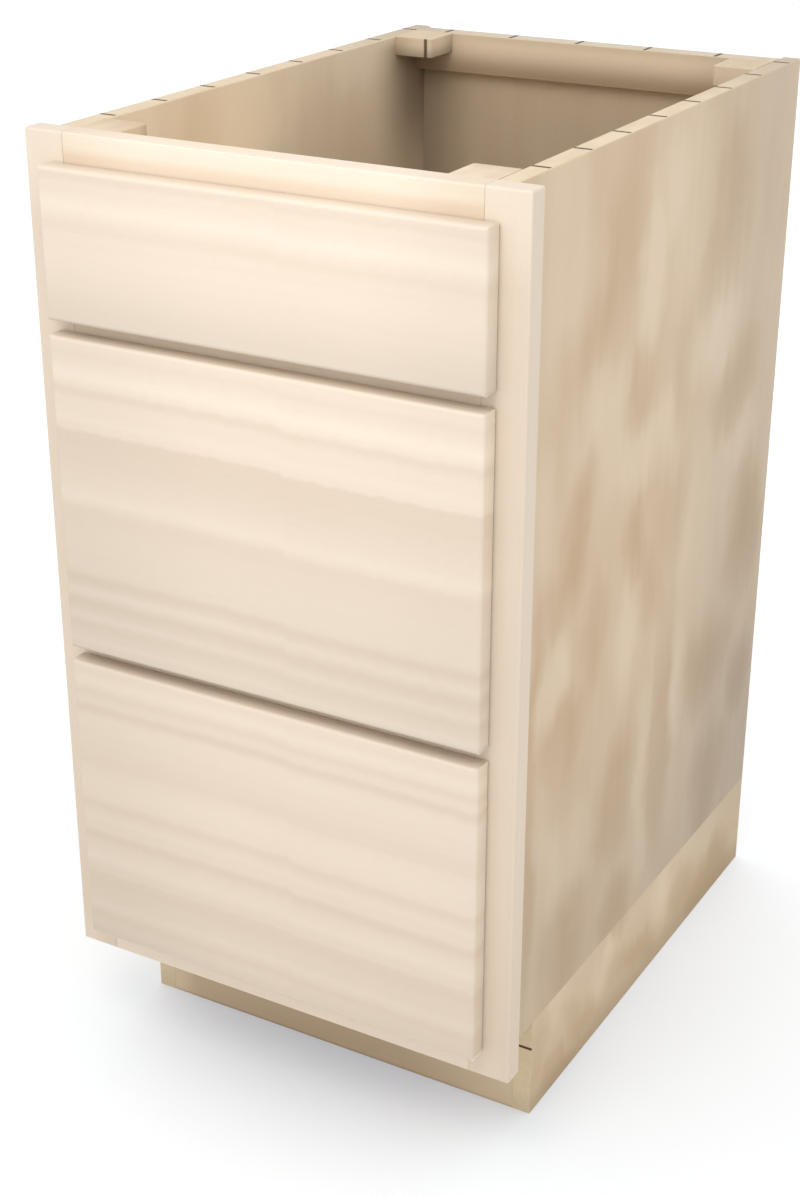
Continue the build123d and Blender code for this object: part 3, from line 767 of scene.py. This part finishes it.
@dataclass(frozen=True)
class Moulded:
    """Moulded plastic or soft rubber with a fine skin."""

    name: str
    colour: Colour
    roughness: float

    def make(self) -> Material:
        """Builds the material."""
        shader = Shader(self.name)
        skin = shader.noise(shader.scaled((2200.0,) * 3), 2.0)
        wear = shader.noise(shader.scaled((160.0,) * 3), 2.0)
        darker = tuple(channel * 0.86 for channel in self.colour)
        colour = shader.blend(wear.ease(0.3, 0.75, 0.0, 0.7), self.colour, darker)
        roughness = self.roughness + (wear - 0.5) * 0.15
        return shader.finish(colour, roughness, shader.bump(skin, 0.00002))


# --- Fine parts ---
class Workpiece:
    """One small piece on the bench: started from a primitive, shaped face by face, then copied."""

    def __init__(self, name: str) -> None:
        """Takes the primitive that was just added, names it and opens it for shaping."""
        self.piece = bpy.context.active_object
        self.piece.name = name
        bpy.ops.object.mode_set(mode="EDIT")

    @classmethod
    def round_blank(cls, name: str, radius: float, depth: float, sides: int = 28) -> Self:
        """A round blank that stands on the bench; flat sides stand in for its circle."""
        bpy.ops.object.select_all(action="DESELECT")
        bpy.ops.mesh.primitive_cylinder_add(
            radius=radius, depth=depth, vertices=sides, location=(0, 0, depth / 2)
        )
        bpy.ops.object.transform_apply(location=True, rotation=False, scale=False)
        return cls(name)

    @classmethod
    def square_blank(cls, name: str, size: Place, middle: Place) -> Self:
        """A square blank of this size along X, Y and Z."""
        bpy.ops.object.select_all(action="DESELECT")
        bpy.ops.mesh.primitive_cube_add(size=1.0, location=middle)
        bpy.context.active_object.scale = size
        bpy.ops.object.transform_apply(location=True, rotation=False, scale=True)
        return cls(name)

    def select(self, kind: str, test: Callable[..., bool]) -> Self:
        """Selects what passes a test, of each "FACE" or each "EDGE", and nothing else."""
        bpy.ops.mesh.select_mode(type=kind)
        bpy.ops.mesh.select_all(action="DESELECT")
        mesh = bmesh.from_edit_mesh(self.piece.data)
        for part in mesh.faces if kind == "FACE" else mesh.edges:
            if test(part):
                part.select_set(True)
        bmesh.update_edit_mesh(self.piece.data)
        return self

    def faces(self, test: Callable[[Vector, Vector], bool]) -> Self:
        """Selects the faces whose middle and normal pass a test."""
        return self.select("FACE", lambda face: test(face.calc_center_median(), face.normal))

    def edges(self, test: Callable[[Vector, Vector], bool]) -> Self:
        """Selects the edges whose two ends pass a test."""
        return self.select("EDGE", lambda edge: test(edge.verts[0].co, edge.verts[1].co))

    def underside(self) -> Self:
        """Selects the faces that look down."""
        return self.faces(lambda middle, normal: normal.z < -0.9)

    def rim(self, height: float) -> Self:
        """Selects the edges of a top that stands at this height."""
        just_below = height - 1e-5
        return self.edges(lambda a, b: a.z > just_below and b.z > just_below)

    def ease(self, width: float, steps: int = 3) -> Self:
        """Rounds the selected edges over this far, in some steps."""
        bpy.ops.mesh.bevel(offset=width, offset_type="OFFSET", segments=steps, affect="EDGES")
        return self

    def inset(self, width: float) -> Self:
        """Draws a border inside the selected faces."""
        bpy.ops.mesh.inset(thickness=width, depth=0)
        return self

    def pull(self, way: Place) -> Self:
        """Pulls the selected faces out, or pushes them in."""
        bpy.ops.mesh.extrude_region_move(TRANSFORM_OT_translate={"value": way})
        return self

    def taper(self, share: float, height: float) -> Self:
        """Narrows what is selected at this height to a share of its width."""
        bpy.ops.transform.resize(value=(share, share, 1), center_override=(0, 0, height))
        return self

    def close(self) -> Piece:
        """Leaves edit mode with smooth rounds and crisp arrises."""
        bpy.ops.object.mode_set(mode="OBJECT")
        bpy.ops.object.shade_smooth_by_angle(angle=CRISP_ABOVE)
        return self.piece

    def cut_cross(self, reach: float, width: float, top: float, depth: float) -> Piece:
        """Cuts a driver's cross into the head.

        Args:
            reach: the cross's length, tip to tip.
            width: the width of its arms.
            top: the height of the head's top.
            depth: how deep the cross goes.

        Returns:
            The finished piece.
        """
        bpy.ops.object.mode_set(mode="OBJECT")
        for size in ((reach, width, 2 * depth), (width, reach, 2 * depth)):
            cutter = Workpiece.square_blank("driver_cross", size, (0, 0, top)).close()
            bpy.ops.object.select_all(action="DESELECT")
            bpy.context.view_layer.objects.active = self.piece
            self.piece.select_set(True)
            cut = self.piece.modifiers.new("cross", "BOOLEAN")
            cut.operation, cut.solver, cut.object = "DIFFERENCE", "EXACT", cutter
            bpy.ops.object.modifier_apply(modifier=cut.name)
            bpy.data.objects.remove(cutter, do_unlink=True)
        return self.close()


@dataclass(frozen=True)
class Spot:
    """Where a copy goes and where its top looks."""

    place: Place
    up: Place


def copied(pattern: Piece, change: Matrix) -> Piece:
    """A copy in the scene with a mesh of its own, changed."""
    copy = pattern.copy()
    copy.data = pattern.data.copy()
    copy.data.transform(change)
    bpy.context.scene.collection.objects.link(copy)
    return copy


def set_out(pattern: Piece, spots: list[Spot], name: str, body: str,
            finish: Material, slot: str, stands_for: str | None = None) -> None:
    """Copies a pattern to its spots as one piece of separate solids, and removes the pattern.

    Args:
        pattern: the piece that is copied.
        spots: where the copies go.
        name: the new piece's name.
        body: the body that it rides on.
        finish: its material.
        slot: the name of a material slot; not used.
        stands_for: the CAD node that it replaces, if any.
    """
    copies = []
    for spot in spots:
        turn = Vector((0, 0, 1)).rotation_difference(Vector(spot.up)).to_matrix().to_4x4()
        copies.append(copied(pattern, Matrix.Translation(spot.place) @ turn))
    bpy.data.objects.remove(pattern, do_unlink=True)
    bpy.ops.object.select_all(action="DESELECT")
    for copy in copies:
        copy.select_set(True)
    piece = bpy.context.view_layer.objects.active = copies[0]
    bpy.ops.object.join()
    piece.name = piece.data.name = name
    put_on(piece, finish)
    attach(piece, body)
    if stands_for is not None:
        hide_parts(stands_for)
    log.info("%s: %d copies", name, len(copies))


TIP_LENGTH = 0.0035  # of a screw's point
TIP_SHARE = 0.12  # its end's share of the shank's radius
SHANK_RADIUS = 0.0019
FLAT_RADIUS, FLAT_HEIGHT, FLAT_SHANK = 0.0035, 0.0012, 0.0127
FLAT_CROSS = (0.0040, 0.0009, 0.0, 0.0009)  # reach, width, top and depth


def draw_shank(screw: Workpiece, top: float, length: float) -> None:
    """Draws the selected face, at the shank's top, down to this length with its point."""
    screw.pull((0, 0, TIP_LENGTH - length))
    screw.pull((0, 0, -TIP_LENGTH)).taper(TIP_SHARE, top - length)


def pan_screw(radius: float, height: float, shank: float) -> Piece:
    """A pan-head screw whose head, of this radius and height, stands on the height 0."""
    screw = Workpiece.round_blank("pan_screw", radius, height)
    screw.rim(height).ease(height * 0.55, 4)
    screw.underside().inset(radius - SHANK_RADIUS)
    draw_shank(screw, 0.0, shank)
    return screw.cut_cross(radius * 1.1, radius * 0.24, height, height * 0.62)


def flat_screw() -> Piece:
    """A flat-head screw whose top is at the height 0."""
    screw = Workpiece.round_blank("flat_screw", FLAT_RADIUS, FLAT_HEIGHT)
    bpy.ops.mesh.select_all(action="SELECT")
    bpy.ops.transform.translate(value=(0, 0, -FLAT_HEIGHT))
    screw.underside().taper(SHANK_RADIUS / FLAT_RADIUS, -FLAT_HEIGHT)
    draw_shank(screw, -FLAT_HEIGHT, FLAT_SHANK)
    return screw.cut_cross(*FLAT_CROSS)


FRONT_SCREW = (0.0046, 0.0022, 0.0254)  # head radius, head height and shank
CHANNEL_SCREW = (0.0034, 0.0015, 0.0110)
FRONT_SCREW_X = 0.1143
BOX_WALL_Y = -0.284169  # inner face of a box's front wall
CHANNEL_X = 0.1790  # web of the drawer channels
CHANNEL_END = 0.030  # from a channel's end to its first screw
LEVER_STEM = (0.0080, 0.0160, 0.0036)  # the lever's wide rear part
LEVER_BACK = 0.012  # from the bare channel's end to the lever's middle
LEVER_PULLS = (  # the lever's run along the channel, section by section
    (0.0000, -0.0110, 0.0004), (0.0008, -0.0110, 0.0006), (0.0012, -0.0110, 0.0004),
    (0.0006, -0.0090, -0.0003), (-0.0008, -0.0060, -0.0006), (-0.0006, -0.0060, 0.0006),
)


@dataclass(frozen=True)
class DrawerHardware:
    """What each drawer and its two slides carry besides their CAD parts."""

    opening: str
    middle: float  # height of the slides' middle
    rear: float  # rear end of the drawer channels
    lever_end: float  # what the middle channels leave bare when the drawer is fully out
    front_screw_rows: tuple[float, ...]  # heights of the screws that hold the front

    def on_channels(self, places: list[float]) -> list[Spot]:
        """Spots on the webs of both drawer channels, at these places along them."""
        return [Spot((side * CHANNEL_X, y, self.middle), (side, 0, 0))
                for side in (-1, 1) for y in places]

    def carry(self, pattern: Piece, spots: list[Spot], name: str, *rest: object) -> None:
        """Sets a pattern out on the drawer."""
        set_out(pattern, spots, f"{self.opening}_{name}", f"{self.opening}_drawer", *rest)

    def front_screws(self, finish: Material) -> None:
        """The screws through the box's front wall into the drawer front."""
        spots = [Spot((x, BOX_WALL_Y, z), (0, 1, 0))
                 for z in self.front_screw_rows for x in (-FRONT_SCREW_X, FRONT_SCREW_X)]
        self.carry(pan_screw(*FRONT_SCREW), spots, "front_screws_pan_heads", finish,
                   "screw_steel", f"{self.opening}_front_screws")

    def channel_screws(self, finish: Material) -> None:
        """The screws that hold the drawer channels to the box's sides."""
        first = FRONT_Y + CHANNEL_END
        places = [first + (self.rear - CHANNEL_END - first) * share for share in (0.0, 0.6, 1.0)]
        self.carry(pan_screw(*CHANNEL_SCREW), self.on_channels(places), "channel_screws",
                   finish, "screw_steel")

    def release_levers(self, finish: Material) -> None:
        """The sprung levers that let the drawer off its slides, one in each drawer channel."""
        lever = Workpiece.square_blank("release_lever", LEVER_STEM, (0, 0, LEVER_STEM[2] / 2))
        lever.faces(lambda middle, normal: normal.y < -0.9).inset(0.0009)
        for way in LEVER_PULLS:
            lever.pull(way)
        pattern = lever.edges(lambda a, b: True).ease(0.0003, 2).close()
        self.carry(pattern, self.on_channels([self.lever_end - LEVER_BACK]), "release_levers",
                   finish, "zinc_plated_steel")


SLIDE_ROWS = (  # each slide's height and its last screw
    (0.771525, -0.035169), (0.473075, 0.117231), (0.174625, 0.117231),
)
SLIDE_SCREW_Y = -0.238119  # a slide's first screw
BUMPER_X, BUMPER_RADIUS, BUMPER_HEIGHT = 0.19685, 0.0045, 0.0015
BUMPER_ROWS = (0.7493, 0.8255, 0.45085, 0.6858, 0.1524, 0.38735)
BACK_FACE = 0.304806
STAPLE_X = 0.1935  # the upright staples, over the side panels
STAPLE_LEG_X = 0.0025  # where a staple's crown ends and its leg starts


def slide_screws(finish: Material) -> None:
    """The flat-head screws that hold the cabinet channels to the side panels."""
    face = HALF_OPENING - FLAT_HEIGHT
    spots = [Spot((side * face, y, z), (-side, 0, 0))
             for z, rear in SLIDE_ROWS
             for y in (SLIDE_SCREW_Y, (SLIDE_SCREW_Y + rear) / 2, rear)
             for side in (-1, 1)]
    set_out(flat_screw(), spots, "slide_screws_flat_heads", "cabinet", finish, "screw_steel",
            "slide_screws")


def bumpers(finish: Material) -> None:
    """The soft pads that the drawer fronts close against."""
    pad = Workpiece.round_blank("bumper", BUMPER_RADIUS, BUMPER_HEIGHT, 24)
    pad.rim(BUMPER_HEIGHT).ease(0.0007, 3)
    pad.faces(lambda middle, normal: normal.z > 0.99).inset(0.0012).pull((0, 0, -0.0003))
    spots = [Spot((side * BUMPER_X, FRONT_Y, z), (0, -1, 0))
             for z in BUMPER_ROWS for side in (-1, 1)]
    set_out(pad.close(), spots, "frame_bumpers_soft", "cabinet", finish, "bumper",
            "frame_bumpers")


def one_staple() -> Piece:
    """A staple whose crown lies along X and whose legs point down."""
    staple = Workpiece.square_blank("staple", (0.0064, 0.0009, 0.0006), (0, 0, 0.0))
    for x in (-STAPLE_LEG_X, STAPLE_LEG_X):
        bpy.ops.mesh.select_all(action="SELECT")
        bpy.ops.mesh.bisect(plane_co=(x, 0, 0), plane_no=(1, 0, 0))
    staple.faces(lambda middle, normal: normal.z < -0.9 and abs(middle.x) > STAPLE_LEG_X)
    staple.pull((0, 0, -0.0030))
    staple.edges(lambda a, b: min(a.z, b.z) > 0.0002 and min(abs(a.x), abs(b.x)) > 0.003)
    return staple.ease(0.00025, 2).close()


def staples(finish: Material) -> None:
    """The staples that hold the back panel."""
    pattern = one_staple()
    upright = copied(pattern, Matrix.Rotation(math.pi / 2, 4, "Z"))
    level = [(x, z) for z in (0.1080, 0.8600) for x in (-0.150, -0.075, 0.0, 0.075, 0.150)]
    sides = [(side * STAPLE_X, 0.150 + 0.085 * k) for k in range(9) for side in (-1, 1)]
    for one, way, places in ((pattern, "level", level), (upright, "upright", sides)):
        spots = [Spot((x, BACK_FACE, z), (0, 1, 0)) for x, z in places]
        set_out(one, spots, f"back_staples_{way}", "cabinet", finish, "screw_steel")


DRAWERS: tuple[DrawerHardware, ...] = (
    DrawerHardware("top", 0.771525, 0.002931, -0.14809, (0.78105,)),
    DrawerHardware("middle", 0.473075, 0.155331, -0.07209, (0.48387, 0.64008)),
    DrawerHardware("bottom", 0.174625, 0.155331, -0.07209, (0.18542, 0.34163)),
)


def make_hardware() -> None:
    """Makes the fine parts and puts a finish on each metal or soft CAD node."""
    zinc = Steel("bright_zinc", (0.70, 0.71, 0.72), (0.60, 0.61, 0.63)).make()
    screw = Steel("screw_zinc", (0.66, 0.64, 0.58), (0.55, 0.53, 0.48), 0.3).make()
    soft = Moulded("clear_bumper", (0.72, 0.72, 0.68), 0.35).make()
    black = Moulded("lever_black", (0.020, 0.020, 0.022), 0.42).make()
    for name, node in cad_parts.items():
        for word, finish in (("channel", zinc), ("screws", screw), ("bumpers", soft)):
            if word in name:
                put_on(node, finish)
    for drawer in DRAWERS:
        drawer.front_screws(screw)
        drawer.channel_screws(screw)
        drawer.release_levers(black)
        log.info("hardware of the %s drawer", drawer.opening)
    slide_screws(screw)
    bumpers(soft)
    staples(screw)


# --- Studio ---
@dataclass(frozen=True)
class Camera:
    """The photograph's camera: where it stands, how it is turned, and its lens."""

    place: Place = (0.85643, -1.58848, 1.20934)
    azimuth: float = 0.524120
    downward: float = 0.434210
    roll: float = -0.001984
    focal_pixels: float = 2045.94
    centre: tuple[float, float] = (387.11, 618.72)
    frame_size: tuple[int, int] = (800, 1196)

    def make(self) -> None:
        """Adds the camera to the scene and looks through it."""
        along = Vector((math.cos(self.azimuth), math.sin(self.azimuth), 0))
        ahead = Vector((-math.sin(self.azimuth) * math.cos(self.downward),
                        math.cos(self.azimuth) * math.cos(self.downward),
                        -math.sin(self.downward)))
        up = along.cross(ahead)
        right = along * math.cos(self.roll) + up * math.sin(self.roll)
        up = up * math.cos(self.roll) - along * math.sin(self.roll)
        wide, high = self.frame_size
        long_side = max(wide, high)
        data = bpy.data.cameras.new("photo_camera")
        data.sensor_width = 36.0
        data.lens = self.focal_pixels * data.sensor_width / long_side
        data.shift_x = (wide / 2 - self.centre[0]) / long_side
        data.shift_y = (self.centre[1] - high / 2) / long_side
        data.clip_start, data.clip_end = 0.05, 60.0
        turn = Matrix((right, up, -ahead)).transposed().to_4x4()
        bpy.context.scene.camera = placed(data, Matrix.Translation(self.place) @ turn)


@dataclass(frozen=True)
class Lamp:
    """A round soft lamp that looks at a point."""

    name: str
    place: Place
    aim: Place
    size: float
    watts: float

    def make(self) -> None:
        """Adds the lamp to the scene."""
        data = bpy.data.lights.new(self.name, "AREA")
        data.shape = "DISK"
        data.size = self.size
        data.energy = self.watts
        toward = Vector(self.aim) - Vector(self.place)
        turn = toward.to_track_quat("-Z", "Y").to_matrix().to_4x4()
        placed(data, Matrix.Translation(self.place) @ turn)


def placed(data: bpy.types.ID, where: Matrix) -> Piece:
    """A camera's or a lamp's new object in the scene, turned and moved."""
    thing = bpy.data.objects.new(data.name, data)
    thing.matrix_world = where
    bpy.context.scene.collection.objects.link(thing)
    return thing


@dataclass(frozen=True)
class Studio:
    """White floor and sky, the lamp and the camera."""

    sky: float = 0.968
    floor_half: float = 8.0
    lamp: Lamp = Lamp("key_lamp", (0.15, -1.15, 1.75), (0.0, -0.3, 0.75), 0.7, 4.2)
    camera: Camera = Camera()

    def make_sky(self) -> None:
        """A plain sky that lights evenly and shows white."""
        shader = Shader("white_sky", "worlds")
        direct, through = (shader.node("ShaderNodeLightPath", output=f"Is {way} Ray")
                           for way in ("Camera", "Transmission"))
        shown = {"Value": direct.above(through), "To Min": self.sky, "To Max": 1.0}
        strength = shader.node("ShaderNodeMapRange", values=shown)
        white = {"Color": (1.0, 1.0, 1.0), "Strength": strength}
        background = shader.node("ShaderNodeBackground", values=white)
        shader.node("ShaderNodeOutputWorld", values={"Surface": background}, output=None)
        bpy.context.scene.world = shader.holder

    def make_floor(self) -> None:
        """A floor that shows white and keeps the cabinet's shadow, and lights as plain grey."""
        bpy.ops.mesh.primitive_plane_add(size=2 * self.floor_half, location=(0, 0, 0))
        floor = bpy.context.active_object
        floor.name = "studio_floor"
        shader = Shader("white_floor")
        path = shader.node("ShaderNodeLightPath", output="Is Camera Ray")
        plain, white = (shader.node("ShaderNodeBsdfDiffuse", values={"Color": colour})
                        for colour in ((0.8, 0.8, 0.8), (1.05, 1.0, 0.91)))
        near_glow, far_glow = (shader.node("ShaderNodeEmission", values={"Color": colour})
                               for colour in ((0.0, 0.085, 0.195), (0.065, 0.140, 0.245)))
        away = shader.axes[TO_BACK].ease(-0.10, 0.35)
        glow = shader.node("ShaderNodeMixShader", values={0: away, 1: near_glow, 2: far_glow})
        lit = shader.node("ShaderNodeAddShader", values={0: white, 1: glow})
        surface = shader.node("ShaderNodeMixShader", values={0: path, 1: plain, 2: lit})
        shader.node("ShaderNodeOutputMaterial", values={"Surface": surface}, output=None)
        put_on(floor, shader.holder)

    def make(self) -> None:
        """Builds the whole studio."""
        bpy.context.scene.view_settings.view_transform = "Standard"
        self.make_sky()
        self.make_floor()
        self.lamp.make()
        self.camera.make()
        log.info("studio ready")


def main() -> None:
    """Builds and dresses everything, in order."""
    logging.basicConfig(level=logging.INFO, format="%(message)s", force=True)
    bpy.ops.object.select_all(action="DESELECT")
    Studio().make()
    dress_boards()
    make_hardware()


if __name__ == "__main__":
    main()
